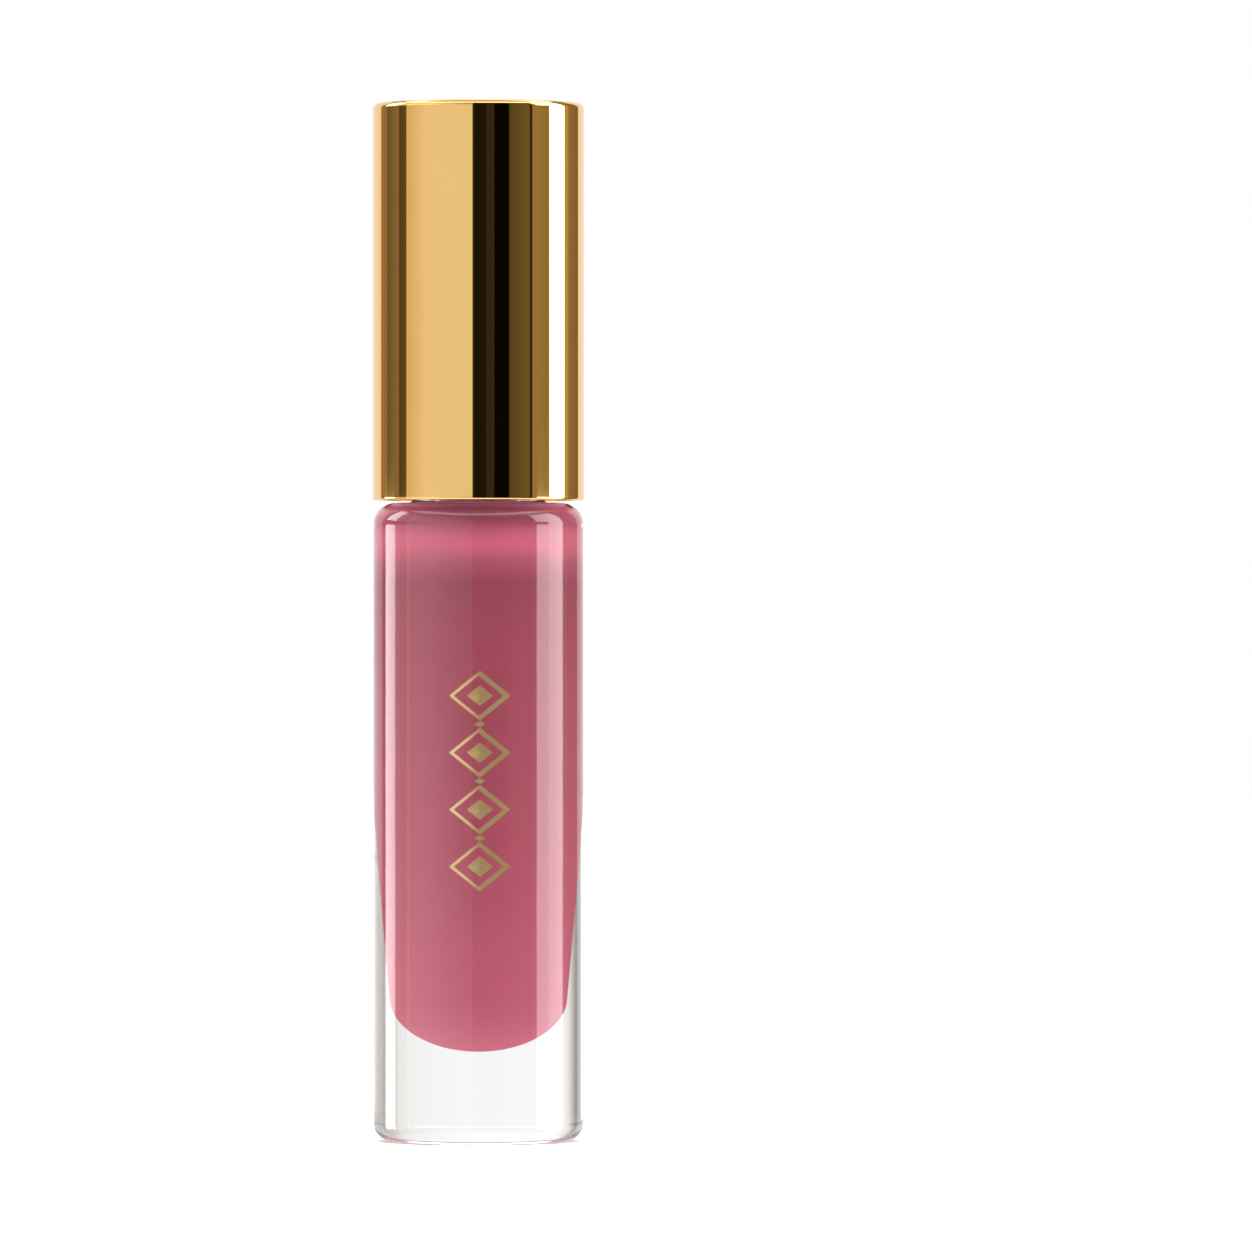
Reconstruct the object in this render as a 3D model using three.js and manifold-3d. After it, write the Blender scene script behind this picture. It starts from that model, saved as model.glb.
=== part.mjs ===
// A lip gloss tube: a thick glass vial with a threaded neck and a wiper, and a gold cap that carries
// a white wand with a flocked doe-foot applicator. Millimetres, +Z up. The origin is the centre of
// the circle that the vial stands on, and the tube is closed, with the wand inside the vial.

import * as THREE from 'three';
import { mergeVertices } from 'three/addons/utils/BufferGeometryUtils.js';
import Module from 'manifold-3d';

const wasm = await Module();
wasm.setup();

// ---- Driving dimensions -------------------------------------------------------------------------

const SIDES = 36; // flats round every turned piece
const TALL = 90.5; // closed tube, base to cap top
const GAP = 0.05; // between pieces that sit in or on each other

// Glass vial
const VIAL_R = 9.15;
const SHOULDER_Z = 55.65;
const SHOULDER_ROUND = 1.9;
const HEEL_ROUND = 1.5;
const PUSH_UP_R = 5.2; // shallow hollow under the base
const PUSH_UP_DEEP = 0.5;
const NECK_R = 5.7;
const NECK_TOP_Z = 66.15;
const NECK_LIP_ROUND = 0.3;
const BORE_R = 3.9;
const WELL_R = 6.2; // inside of the wall, upper part
const WELL_FOOT_R = 5.2; // the wall thickens towards the base
const WELL_TOP_Z = 54.2;
const WELL_ROUND = 1.9;
const WELL_TAPER_Z = 31.7;
const WELL_FOOT_Z = 12.5;
const WELL_LOW_Z = 7.9;

// Screw thread, right-handed
const PITCH = 2.4;
const THREAD_TURNS = 1.75;
const THREAD_LOW_Z = 59.4;
const NECK_RIDGE_R = 0.75;
const CAP_RIDGE_R = 0.65;
const CAP_RIDGE_CREST_R = 6.6; // clears the neck's ridge, so the cap also pulls straight off
const RIDGE_SIDES = 8;
const STEPS_PER_TURN = 24;
const RUN_OUT = 0.12; // share of the ridge that fades away at each end

// Cap
const CAP_R = 9.25;
const CAP_MOUTH_Z = 55.85;
const SHELL_WALL = 0.5;
const SHELL_TOP = 0.6;
const SHELL_ROUND = 0.5;
const SHELL_LIP_ROUND = 0.15;
const CLOSURE_R = 8.25;
const CLOSURE_BORE_R = 7.0;
const CLOSURE_LOW_Z = 56.4;
const CLOSURE_TOP_Z = 89.6;
const SLEEVE_BORE_R = 7.25;
const WEB_THICK = 1.75;
const BOSS_R = 4.6;
const BOSS_TALL = 6.0;
const GRIP_RIBS = 12;
const RIB_WIDE = 0.8;
const RIB_OUT_R = 8.67;
const RIB_LOW_Z = 59.0;
const RIB_TOP_Z = 88.0;

// Wiper and sealing washer
const WIPER_FLANGE_R = 5.3;
const WIPER_FLANGE = 0.78;
const WIPER_BORE_R = 3.1;
const WIPER_CONE_Z = 60.5;
const WIPER_LIP_Z = 57.0;
const ORIFICE_R = 2.6;
const WASHER_R = 5.5;
const WASHER_THICK = 0.8;

// Wand
const STEM_R = 2.5;
const STEM_BELOW_MOUTH = 31.6;
const STEM_SOCKET_R = 1.3;
const STEM_SOCKET_DEEP = 6.0;
const STEM_HEAD_R = 3.2;
const STEM_HEAD_TALL = 6.0;
const SPIGOT_R = 1.25;
const SPIGOT_LONG = 5.6;
const CORE_R = 2.0;
const FLOCK_R = 2.45;
const FLOCK_DEPTH = 0.42;
const FLOCK_TIP_Z = 9.9;
const SLANT_DEG = 31; // doe-foot face, measured from the wand's axis
const SLANT_X = 1.2; // where that face meets the level of the tip

// Gloss
const FILL_TOP_Z = 55.2;
const FILL_HOLE_R = 2.85; // room for the wand
const DOLLOP_TIP_Z = 9.3;
const DOLLOP_LONG = 9.8;
const DOLLOP_R = 3.55;
const DOLLOP_DEPTH = 0.86; // depth over width
const DOLLOP_LEAN = 1.55;
const DOLLOP_UPRIGHT = 6.6; // distance from the tip where the lean ends
const HOLLOW_R = 4.0; // the dollop's room in the fill
const HOLLOW_TOP_Z = 17.0;
const HOLLOW_NECK_Z = 19.4;

// ---- Worked-out heights ---------------------------------------------------------------------------

const WIPER_TOP_Z = NECK_TOP_Z + GAP / 2 + WIPER_FLANGE;
const WASHER_LOW_Z = WIPER_TOP_Z + GAP;
const WEB_LOW_Z = WASHER_LOW_Z + WASHER_THICK + GAP;
const WEB_TOP_Z = WEB_LOW_Z + WEB_THICK;
const LEDGE_Z = WEB_LOW_Z + 1.2;
const STEM_END_Z = CAP_MOUTH_Z - STEM_BELOW_MOUTH;

// ---- Shared shapes --------------------------------------------------------------------------------

const at = (r, z) => new THREE.Vector2(r, z);

/** Points on a quarter of an ellipse about (r, z), from one angle to another, in degrees. */
function arc(r, z, wide, tall, from, to, pieces) {
  const points = [];
  for (let i = 0; i <= pieces; i += 1) {
    const angle = THREE.MathUtils.degToRad(from + ((to - from) * i) / pieces);
    points.push(at(r + wide * Math.cos(angle), z + tall * Math.sin(angle)));
  }
  return points;
}

/** A profile turned about Z. It starts and ends on the axis, or closes on itself. */
function turned(profile) {
  const first = profile[0];
  const closes = first.x > 0;
  const points = closes ? [...profile, first.clone()] : profile;
  const geometry = new THREE.LatheGeometry(points, SIDES);
  geometry.rotateX(Math.PI / 2);
  return geometry;
}

/** A closed geometry as a manifold solid. */
function solidOf(geometry) {
  const bare = geometry.clone();
  bare.deleteAttribute('normal');
  bare.deleteAttribute('uv');
  const merged = mergeVertices(bare, 1e-5);
  const corners = merged.index.array;
  const kept = [];
  for (let i = 0; i < corners.length; i += 3) {
    const [a, b, c] = corners.slice(i, i + 3);
    if (a !== b && b !== c && c !== a) kept.push(a, b, c);
  }
  return new wasm.Manifold(new wasm.Mesh({
    numProp: 3,
    vertProperties: new Float32Array(merged.attributes.position.array),
    triVerts: new Uint32Array(kept),
  }));
}

/** A manifold solid as a geometry with flat shading. */
function geometryOf(solid) {
  const mesh = solid.getMesh();
  const geometry = new THREE.BufferGeometry();
  geometry.setAttribute('position', new THREE.BufferAttribute(mesh.vertProperties, 3));
  geometry.setIndex(new THREE.BufferAttribute(mesh.triVerts, 1));
  geometry.computeVertexNormals();
  return geometry;
}

/** The centre line of a thread ridge. It moves from fadeRadius to radius and back at its ends. */
class RidgePath extends THREE.Curve {
  constructor(radius, fadeRadius, lowZ) {
    super();
    this.radius = radius;
    this.fadeRadius = fadeRadius;
    this.lowZ = lowZ;
  }

  getPoint(t, target = new THREE.Vector3()) {
    const full = THREE.MathUtils.smoothstep(Math.min(t, 1 - t), 0, RUN_OUT);
    const r = THREE.MathUtils.lerp(this.fadeRadius, this.radius, full);
    const angle = 2 * Math.PI * THREAD_TURNS * t;
    const z = this.lowZ + PITCH * THREAD_TURNS * t;
    return target.set(r * Math.cos(angle), r * Math.sin(angle), z);
  }
}

/** A rounded helical ridge, as on moulded glass and plastic necks. */
function threadRidge(path, ridgeRadius) {
  const section = new THREE.Shape();
  for (let i = 0; i < RIDGE_SIDES; i += 1) {
    const angle = (2 * Math.PI * i) / RIDGE_SIDES;
    const corner = [ridgeRadius * Math.cos(angle), ridgeRadius * Math.sin(angle)];
    if (i === 0) section.moveTo(...corner);
    else section.lineTo(...corner);
  }
  section.closePath();
  return new THREE.ExtrudeGeometry(section, {
    steps: Math.round(THREAD_TURNS * STEPS_PER_TURN),
    bevelEnabled: false,
    extrudePath: path,
  });
}

// ---- Glass vial and what is in it -------------------------------------------------------------------

/** Inside of the vial from its lowest point up to the bore, shrunk by a clearance. */
function wellProfile(clearance) {
  const foot = WELL_FOOT_R - clearance;
  const top = WELL_R - clearance;
  const roundR = top - (BORE_R - clearance);
  return [
    ...arc(0, WELL_FOOT_Z, foot, WELL_FOOT_Z - WELL_LOW_Z - clearance, -90, 0, 6),
    at(top, WELL_TAPER_Z),
    ...arc(BORE_R - clearance, WELL_TOP_Z - WELL_ROUND, roundR, WELL_ROUND - clearance, 0, 90, 4),
  ];
}

function glassVial() {
  const outside = [
    at(0, PUSH_UP_DEEP),
    at(PUSH_UP_R * 0.6, PUSH_UP_DEEP * 0.64),
    at(PUSH_UP_R, 0),
    ...arc(VIAL_R - HEEL_ROUND, HEEL_ROUND, HEEL_ROUND, HEEL_ROUND, -90, 0, 3),
    ...arc(VIAL_R - SHOULDER_ROUND, SHOULDER_Z - SHOULDER_ROUND, SHOULDER_ROUND, SHOULDER_ROUND, 0, 90, 4),
    at(NECK_R, SHOULDER_Z),
    ...arc(NECK_R - NECK_LIP_ROUND, NECK_TOP_Z - NECK_LIP_ROUND, NECK_LIP_ROUND, NECK_LIP_ROUND, 0, 90, 2),
  ];
  const inside = [at(BORE_R, NECK_TOP_Z), ...wellProfile(0).reverse()];
  const vial = solidOf(turned([...outside, ...inside]));
  const path = new RidgePath(NECK_R, NECK_R - NECK_RIDGE_R, THREAD_LOW_Z);
  return geometryOf(vial.add(solidOf(threadRidge(path, NECK_RIDGE_R))));
}

function glossFill() {
  const outside = [...wellProfile(GAP), at(BORE_R - GAP, FILL_TOP_Z)];
  const inside = [
    at(FILL_HOLE_R, FILL_TOP_Z),
    at(FILL_HOLE_R, HOLLOW_NECK_Z),
    at(HOLLOW_R, HOLLOW_TOP_Z),
    at(HOLLOW_R, DOLLOP_TIP_Z + 2),
    at(HOLLOW_R - 0.5, DOLLOP_TIP_Z + 0.8),
    at(HOLLOW_R - 1.2, DOLLOP_TIP_Z),
    at(HOLLOW_R - 1.9, DOLLOP_TIP_Z - 0.3),
    at(0, DOLLOP_TIP_Z - 0.3),
  ];
  return turned([...outside, ...inside]);
}

function wiper() {
  const plugR = BORE_R - GAP;
  const seatZ = NECK_TOP_Z + GAP / 2;
  return turned([
    at(ORIFICE_R, WIPER_LIP_Z + 0.25),
    at(ORIFICE_R + 0.3, WIPER_LIP_Z),
    at(plugR, WIPER_CONE_Z),
    at(plugR, seatZ),
    at(WIPER_FLANGE_R, seatZ),
    at(WIPER_FLANGE_R, WIPER_TOP_Z),
    at(WIPER_BORE_R + 0.4, WIPER_TOP_Z),
    at(WIPER_BORE_R, WIPER_TOP_Z - 0.7),
    at(WIPER_BORE_R, WIPER_CONE_Z),
    at(ORIFICE_R, WIPER_LIP_Z + 0.9),
  ]);
}

function sealingWasher() {
  const topZ = WASHER_LOW_Z + WASHER_THICK;
  return turned([
    at(ORIFICE_R, WASHER_LOW_Z),
    at(WASHER_R, WASHER_LOW_Z),
    at(WASHER_R, topZ),
    at(ORIFICE_R, topZ),
  ]);
}

// ---- Cap ------------------------------------------------------------------------------------------

function capShell() {
  const insideR = CAP_R - SHELL_WALL;
  const lip = SHELL_LIP_ROUND;
  return turned([
    at(0, TALL - SHELL_TOP),
    at(insideR, TALL - SHELL_TOP),
    at(insideR, CAP_MOUTH_Z + lip),
    at(insideR + lip, CAP_MOUTH_Z),
    at(CAP_R - lip, CAP_MOUTH_Z),
    at(CAP_R, CAP_MOUTH_Z + lip),
    ...arc(CAP_R - SHELL_ROUND, TALL - SHELL_ROUND, SHELL_ROUND, SHELL_ROUND, 0, 90, 3),
    at(0, TALL),
  ]);
}

function innerCap() {
  let closure = solidOf(turned([
    at(CLOSURE_BORE_R, CLOSURE_LOW_Z),
    at(CLOSURE_R, CLOSURE_LOW_Z),
    at(CLOSURE_R, CLOSURE_TOP_Z),
    at(SLEEVE_BORE_R, CLOSURE_TOP_Z),
    at(SLEEVE_BORE_R, WEB_TOP_Z),
    at(BOSS_R, WEB_TOP_Z),
    at(BOSS_R, WEB_TOP_Z + BOSS_TALL),
    at(STEM_HEAD_R + GAP, WEB_TOP_Z + BOSS_TALL),
    at(STEM_HEAD_R + GAP, LEDGE_Z),
    at(STEM_R + GAP, LEDGE_Z),
    at(STEM_R + GAP, WEB_LOW_Z),
    at(CLOSURE_BORE_R, WEB_LOW_Z),
  ]));
  const ridgeR = CAP_RIDGE_CREST_R + CAP_RIDGE_R;
  const path = new RidgePath(ridgeR, ridgeR + 0.3, THREAD_LOW_Z - PITCH / 2);
  closure = closure.add(solidOf(threadRidge(path, CAP_RIDGE_R)));
  const ribDeep = RIB_OUT_R - CLOSURE_BORE_R - 0.6;
  for (let i = 0; i < GRIP_RIBS; i += 1) {
    const rib = new THREE.BoxGeometry(ribDeep, RIB_WIDE, RIB_TOP_Z - RIB_LOW_Z);
    rib.translate(RIB_OUT_R - ribDeep / 2, 0, (RIB_TOP_Z + RIB_LOW_Z) / 2);
    rib.rotateZ((2 * Math.PI * (i + 0.5)) / GRIP_RIBS);
    closure = closure.add(solidOf(rib));
  }
  return geometryOf(closure);
}

// ---- Wand -----------------------------------------------------------------------------------------

function wandStem() {
  const headZ = LEDGE_Z + GAP;
  return turned([
    at(0, STEM_END_Z + STEM_SOCKET_DEEP),
    at(STEM_SOCKET_R, STEM_END_Z + STEM_SOCKET_DEEP),
    at(STEM_SOCKET_R, STEM_END_Z),
    at(1.95, STEM_END_Z),
    at(2.25, STEM_END_Z + 0.2),
    at(2.38, STEM_END_Z + 0.8),
    at(STEM_R, STEM_END_Z + 3.4),
    at(STEM_R, headZ),
    at(STEM_HEAD_R, headZ),
    at(STEM_HEAD_R, headZ + STEM_HEAD_TALL),
    at(0, headZ + STEM_HEAD_TALL),
  ]);
}

/** A round bar with a domed tip, its end sliced at a slant: the shape of a doe's foot. */
function doeFoot(radius, topZ, inset) {
  const tipZ = FLOCK_TIP_Z + inset;
  const bar = solidOf(turned([
    ...arc(0, tipZ + radius, radius, radius, -90, 0, 5),
    at(radius, topZ),
    at(0, topZ),
  ]));
  const half = 12;
  const slice = new THREE.BoxGeometry(2 * half, 2 * half, 2 * half);
  slice.translate(-half, 0, 0);
  slice.rotateY(-THREE.MathUtils.degToRad(SLANT_DEG));
  const shift = inset / Math.cos(THREE.MathUtils.degToRad(SLANT_DEG));
  slice.translate(SLANT_X + shift, 0, FLOCK_TIP_Z);
  return bar.subtract(solidOf(slice));
}

function applicatorCore() {
  const spigot = solidOf(turned([
    at(0, FLOCK_TIP_Z + 8),
    at(SPIGOT_R, FLOCK_TIP_Z + 8),
    at(SPIGOT_R, STEM_END_Z + SPIGOT_LONG - 0.3),
    at(SPIGOT_R - 0.3, STEM_END_Z + SPIGOT_LONG),
    at(0, STEM_END_Z + SPIGOT_LONG),
  ]));
  return geometryOf(doeFoot(CORE_R, STEM_END_Z - GAP, FLOCK_DEPTH).add(spigot));
}

function flocking() {
  const inner = doeFoot(CORE_R + 0.03, STEM_END_Z + 1, FLOCK_DEPTH - 0.03);
  return geometryOf(doeFoot(FLOCK_R, STEM_END_Z - GAP * 2, 0).subtract(inner));
}

/** Gloss clinging to the tip: a full drop that leans over the slanted face. */
function glossOnTip() {
  const drop = new THREE.SphereGeometry(1, 24, 16);
  drop.rotateX(Math.PI / 2);
  const place = drop.attributes.position;
  for (let i = 0; i < place.count; i += 1) {
    const fromTip = ((place.getZ(i) + 1) / 2) * DOLLOP_LONG;
    const lean = DOLLOP_LEAN * Math.max(0, 1 - fromTip / DOLLOP_UPRIGHT) ** 2;
    place.setX(i, place.getX(i) * DOLLOP_R + lean);
    place.setY(i, place.getY(i) * DOLLOP_R * DOLLOP_DEPTH);
    place.setZ(i, DOLLOP_TIP_Z + fromTip);
  }
  const room = doeFoot(FLOCK_R + 0.03, STEM_END_Z, -0.03);
  return geometryOf(solidOf(drop).subtract(room));
}

// ---- Assembly ---------------------------------------------------------------------------------------

function piece(name, geometry, color, roughness, metalness) {
  const mesh = new THREE.Mesh(geometry, new THREE.MeshStandardMaterial({ color, roughness, metalness }));
  mesh.name = name;
  return mesh;
}

const vial = new THREE.Group();
vial.add(
  piece('glass_bottle', glassVial(), 0xe8eef0, 0.03, 0),
  piece('gloss_fill', glossFill(), 0xb45a70, 0.15, 0),
  piece('wiper', wiper(), 0xf2f2ee, 0.4, 0),
);

const cap = new THREE.Group();
cap.add(
  piece('sealing_washer', sealingWasher(), 0xfafaf6, 0.8, 0),
  piece('cap_shell', capShell(), 0xd9a655, 0.08, 1),
  piece('inner_cap', innerCap(), 0xf4f4f2, 0.35, 0),
);

const wand = new THREE.Group();
wand.add(
  piece('wand_stem', wandStem(), 0xf6f6f8, 0.25, 0),
  piece('applicator_core', applicatorCore(), 0xf0eeea, 0.4, 0),
  piece('flocking', flocking(), 0xc4687e, 0.95, 0),
  piece('gloss_on_tip', glossOnTip(), 0xb45a70, 0.08, 0),
);
cap.add(wand);

const tube = new THREE.Group();
tube.add(vial, cap);

export default tube;
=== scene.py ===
# A lip gloss tube: a thick glass vial of opaque pink gloss, under a gold cap that carries a white wand
# with a flocked doe-foot. Metres, +Z up. The tube stands on z = 0, closed, with the wand in the gloss.

import math

import bmesh
import bpy
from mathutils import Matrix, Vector, noise


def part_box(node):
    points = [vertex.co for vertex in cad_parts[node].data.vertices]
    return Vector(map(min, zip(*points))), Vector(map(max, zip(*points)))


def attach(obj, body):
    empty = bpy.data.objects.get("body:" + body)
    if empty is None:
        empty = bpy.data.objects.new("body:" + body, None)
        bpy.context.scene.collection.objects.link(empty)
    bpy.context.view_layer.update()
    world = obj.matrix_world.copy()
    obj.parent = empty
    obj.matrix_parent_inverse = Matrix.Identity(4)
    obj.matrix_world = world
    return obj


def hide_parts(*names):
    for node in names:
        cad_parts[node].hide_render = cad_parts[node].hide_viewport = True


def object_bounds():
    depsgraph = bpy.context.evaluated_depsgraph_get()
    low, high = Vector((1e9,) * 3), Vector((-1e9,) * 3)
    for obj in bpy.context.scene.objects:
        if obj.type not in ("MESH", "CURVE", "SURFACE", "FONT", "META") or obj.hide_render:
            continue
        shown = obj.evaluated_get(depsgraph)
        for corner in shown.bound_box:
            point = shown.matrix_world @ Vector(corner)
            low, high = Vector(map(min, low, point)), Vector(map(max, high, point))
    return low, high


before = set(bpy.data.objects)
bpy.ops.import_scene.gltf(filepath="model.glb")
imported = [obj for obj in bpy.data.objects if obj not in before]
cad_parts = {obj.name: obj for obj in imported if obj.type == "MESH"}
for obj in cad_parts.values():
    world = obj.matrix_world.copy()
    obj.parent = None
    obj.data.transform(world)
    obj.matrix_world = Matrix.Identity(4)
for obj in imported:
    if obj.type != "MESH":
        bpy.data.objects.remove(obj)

cad_low, cad_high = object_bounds()
mm = 0.001

# ---- Glass vial ------------------------------------------------------------------------------------
# Clear flint glass, moulded thick, with a heavy base, a rounded shoulder and a neck for a screw cap.
# The well inside is narrower at its foot, so the wall thickens downwards round the gloss.

vial_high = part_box("glass_bottle")[1]
mouth_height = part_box("cap_shell")[0].z
VIAL_RADIUS = vial_high.x
NECK_TOP = vial_high.z
SHOULDER = mouth_height - 0.2 * mm
NECK_RADIUS = 5.7 * mm
BORE_RADIUS = 3.9 * mm
WELL_RADIUS = 6.2 * mm
WELL_FOOT_RADIUS = 5.15 * mm
WELL_TOP = 54.2 * mm
WELL_TAPER = 31.7 * mm
WELL_FOOT = 12.5 * mm
WELL_BOTTOM = 7.9 * mm
WELL_SHOULDER_ROUND = 1.3 * mm
PUSH_UP_RADIUS = 5.2 * mm
PUSH_UP = 0.5 * mm

THREAD_PITCH = 2.4 * mm
THREAD_TURNS = 1.75
THREAD_START = 59.4 * mm
THREAD_HALF = 0.75 * mm


def rounded(corners, steps=8):
    """Points of a profile through (radius, height, rounding) corners, each rounding an arc. A point
    close to each end of the arc keeps the shading of the straight parts flat."""
    points = []
    for i, (radius, height, rounding) in enumerate(corners):
        here = Vector((radius, height))
        if not rounding:
            points.append(here)
            continue
        back = (Vector(corners[i - 1][:2]) - here).normalized()
        ahead = (Vector(corners[(i + 1) % len(corners)][:2]) - here).normalized()
        half = back.angle(ahead) / 2
        reach = rounding / math.tan(half)
        guard = reach + min(0.03 * mm, 0.2 * rounding)
        centre = here + (back + ahead).normalized() * rounding / math.sin(half)
        start = (here + back * reach - centre).normalized()
        end = (here + ahead * reach - centre).normalized()
        points.append(here + back * guard)
        points += [centre + rounding * start.slerp(end, k / steps) for k in range(steps + 1)]
        points.append(here + ahead * guard)
    return points


def mesh_object(name, verts, faces, sharp_above=40):
    """A mesh object with its faces outwards, smooth except at edges sharper than that many degrees."""
    mesh = bpy.data.meshes.new(name)
    mesh.from_pydata(verts, [], faces)
    shape = bmesh.new()
    shape.from_mesh(mesh)
    bmesh.ops.remove_doubles(shape, verts=shape.verts, dist=1e-8)
    bmesh.ops.recalc_face_normals(shape, faces=shape.faces)
    shape.to_mesh(mesh)
    shape.free()
    mesh.shade_smooth()
    mesh.set_sharp_from_angle(angle=math.radians(sharp_above))
    piece = bpy.data.objects.new(name, mesh)
    bpy.context.scene.collection.objects.link(piece)
    return piece


def turned(name, profile, sides=128, longest=2 * mm, swell=None):
    """A piece turned about Z from (radius, height) points. A profile off the axis closes on itself.
    swell(angle, radius, height) moves a point outwards by what it returns."""
    ends = profile if profile[0].x < 1e-9 else profile + profile[:1]
    points = []
    for start, end in zip(ends, ends[1:]):
        cuts = max(1, math.ceil((end - start).length / longest))
        points += [start.lerp(end, k / cuts) for k in range(cuts)]
    if profile[0].x < 1e-9:
        points.append(ends[-1])
    verts, rings = [], []
    for radius, height in points:
        if radius < 1e-9:
            rings.append([len(verts)] * sides)
            verts.append((0, 0, height))
            continue
        rings.append(list(range(len(verts), len(verts) + sides)))
        for k in range(sides):
            angle = 2 * math.pi * k / sides
            out = radius + (swell(angle, radius, height) if swell else 0)
            verts.append((out * math.cos(angle), out * math.sin(angle), height))
    if profile[0].x >= 1e-9:
        rings.append(rings[0])
    faces = []
    for low, high in zip(rings, rings[1:]):
        for k in range(sides):
            n = (k + 1) % sides
            faces.append(list(dict.fromkeys((low[k], low[n], high[n], high[k]))))
    return mesh_object(name, verts, faces)


def smooth(low, high, value):
    """0 below low, 1 above high, and an S-curve between."""
    t = min(1, max(0, (value - low) / (high - low)))
    return t * t * (3 - 2 * t)


def thread(angle, height, start):
    """How far a rounded right-hand ridge stands up at this place, from 0 to 1. It fades at its ends."""
    tall = 0
    for turn in range(-1, 3):
        along = (angle / (2 * math.pi) + turn) / THREAD_TURNS
        if 0 <= along <= 1:
            off = (height - start - THREAD_PITCH * THREAD_TURNS * along) / THREAD_HALF
            fade = smooth(0, 0.12, min(along, 1 - along))
            tall = max(tall, math.sqrt(max(0, 1 - off * off)) * fade)
    return tall


def well(wider=0):
    """Profile of the inside of the vial, from its lowest point up to the bore."""
    steps = 24
    deep = WELL_FOOT - WELL_BOTTOM + wider
    foot = WELL_FOOT_RADIUS + wider
    points = []
    for k in range(steps):
        turn = math.pi / 2 * k / steps
        points.append(Vector((foot * math.sin(turn), WELL_FOOT - deep * math.cos(turn))))
    for k in range(steps + 1):
        height = WELL_FOOT + (WELL_TAPER - WELL_FOOT) * k / steps
        share = 0.8 * k / steps + 0.2 * math.sin(math.pi / 2 * k / steps)
        swell = share * (WELL_RADIUS - WELL_FOOT_RADIUS)
        points.append(Vector((foot + swell, height)))
    shoulder = [
        (WELL_RADIUS + wider, WELL_TAPER, 0),
        (WELL_RADIUS + wider, WELL_TOP + wider, WELL_SHOULDER_ROUND),
        (BORE_RADIUS + wider, WELL_TOP + wider, 0),
    ]
    return points + rounded(shoulder)[1:]


def push_up():
    """Profile of the shallow hollow under the base, from the axis out to the standing ring."""
    steps = 8
    for k in range(steps + 1):
        share = k / steps
        yield Vector((PUSH_UP_RADIUS * share, PUSH_UP * (1 - share * share) ** 2))


def vial_profile():
    outside = rounded([
        (PUSH_UP_RADIUS, 0, 0),
        (VIAL_RADIUS, 0, 1.5 * mm),
        (VIAL_RADIUS, SHOULDER, 1.9 * mm),
        (NECK_RADIUS, SHOULDER, 0.5 * mm),
        (NECK_RADIUS, NECK_TOP, 0.35 * mm),
        (BORE_RADIUS, NECK_TOP, 0.25 * mm),
        (BORE_RADIUS, WELL_TOP, 0),
    ])
    return list(push_up()) + outside[1:] + well()[::-1][1:]


def neck_ridge(angle, radius, height):
    """The neck's screw thread."""
    outside = abs(radius - NECK_RADIUS) < 0.05 * mm
    return THREAD_HALF * thread(angle, height, THREAD_START) if outside else 0


class Link:
    """A socket in a node tree. Arithmetic on links adds Math nodes."""

    def __init__(self, tree, socket):
        self.tree = tree
        self.socket = socket

    def math(self, operation, *values):
        inputs = dict(enumerate(values))
        return self.tree.node("ShaderNodeMath", {"operation": operation}, inputs)

    def __add__(self, other):
        return self.math("ADD", self, other)

    def __mul__(self, other):
        return self.math("MULTIPLY", self, other)

    def __sub__(self, other):
        return self.math("SUBTRACT", self, other)

    def __rsub__(self, other):
        return self.math("SUBTRACT", other, self)

    def __truediv__(self, other):
        return self.math("DIVIDE", self, other)

    def __gt__(self, other):
        return self.math("GREATER_THAN", self, other)

    def __lt__(self, other):
        return self.math("LESS_THAN", self, other)

    __radd__ = __add__
    __rmul__ = __mul__


class Tree:
    """The node tree of a material, the world or a shape, emptied."""

    def __init__(self, owner):
        self.nodes = owner.nodes
        self.links = owner.links
        self.nodes.clear()

    def node(self, kind, settings=None, inputs=None, output=0):
        """A new node as a link from one of its outputs. Settings are set before the inputs."""
        made = self.nodes.new(kind)
        for name, value in (settings or {}).items():
            if name == "stops":
                set_stops(made.color_ramp, value)
            else:
                setattr(made, name, value)
        for name, value in (inputs or {}).items():
            if isinstance(value, Link):
                self.links.new(value.socket, made.inputs[name])
            else:
                made.inputs[name].default_value = value
        return Link(self, made.outputs[output]) if len(made.outputs) else made

    def mix(self, share, first, second):
        """A colour between two."""
        inputs = {"Factor": share, 6: first, 7: second}
        return self.node("ShaderNodeMix", {"data_type": "RGBA"}, inputs, 2)

    def vector(self, operation, first, second):
        """Vector arithmetic. SCALE takes a number as its second value."""
        inputs = {0: first, "Scale" if operation == "SCALE" else 1: second}
        return self.node("ShaderNodeVectorMath", {"operation": operation}, inputs)

    def place(self, stretch=(1, 1, 1)):
        """The piece's own coordinates, scaled along each axis."""
        own = self.node("ShaderNodeTexCoord", output="Object")
        inputs = {"Vector": own, "Scale": stretch}
        return self.node("ShaderNodeMapping", None, inputs)

    def grain(self, size, detail=3, stretch=(1, 1, 1)):
        """Noise from 0 to 1 with patches of about that size, in metres."""
        inputs = {"Vector": self.place(stretch), "Scale": 1 / size, "Detail": detail}
        return self.node("ShaderNodeTexNoise", None, inputs)

    def bump(self, height, strength, distance):
        inputs = {"Height": height, "Strength": strength, "Distance": distance}
        return self.node("ShaderNodeBump", None, inputs)


def set_stops(ramp, stops):
    """Gives a colour ramp these (position, colour) stops."""
    while len(ramp.elements) < len(stops):
        ramp.elements.new(1)
    for element, (position, colour) in zip(ramp.elements, stops):
        element.position = position
        element.color = (*colour, 1)


def finish(name):
    """A new material and its tree."""
    material = bpy.data.materials.new(name)
    material.use_nodes = True
    return material, Tree(material.node_tree)


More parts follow.
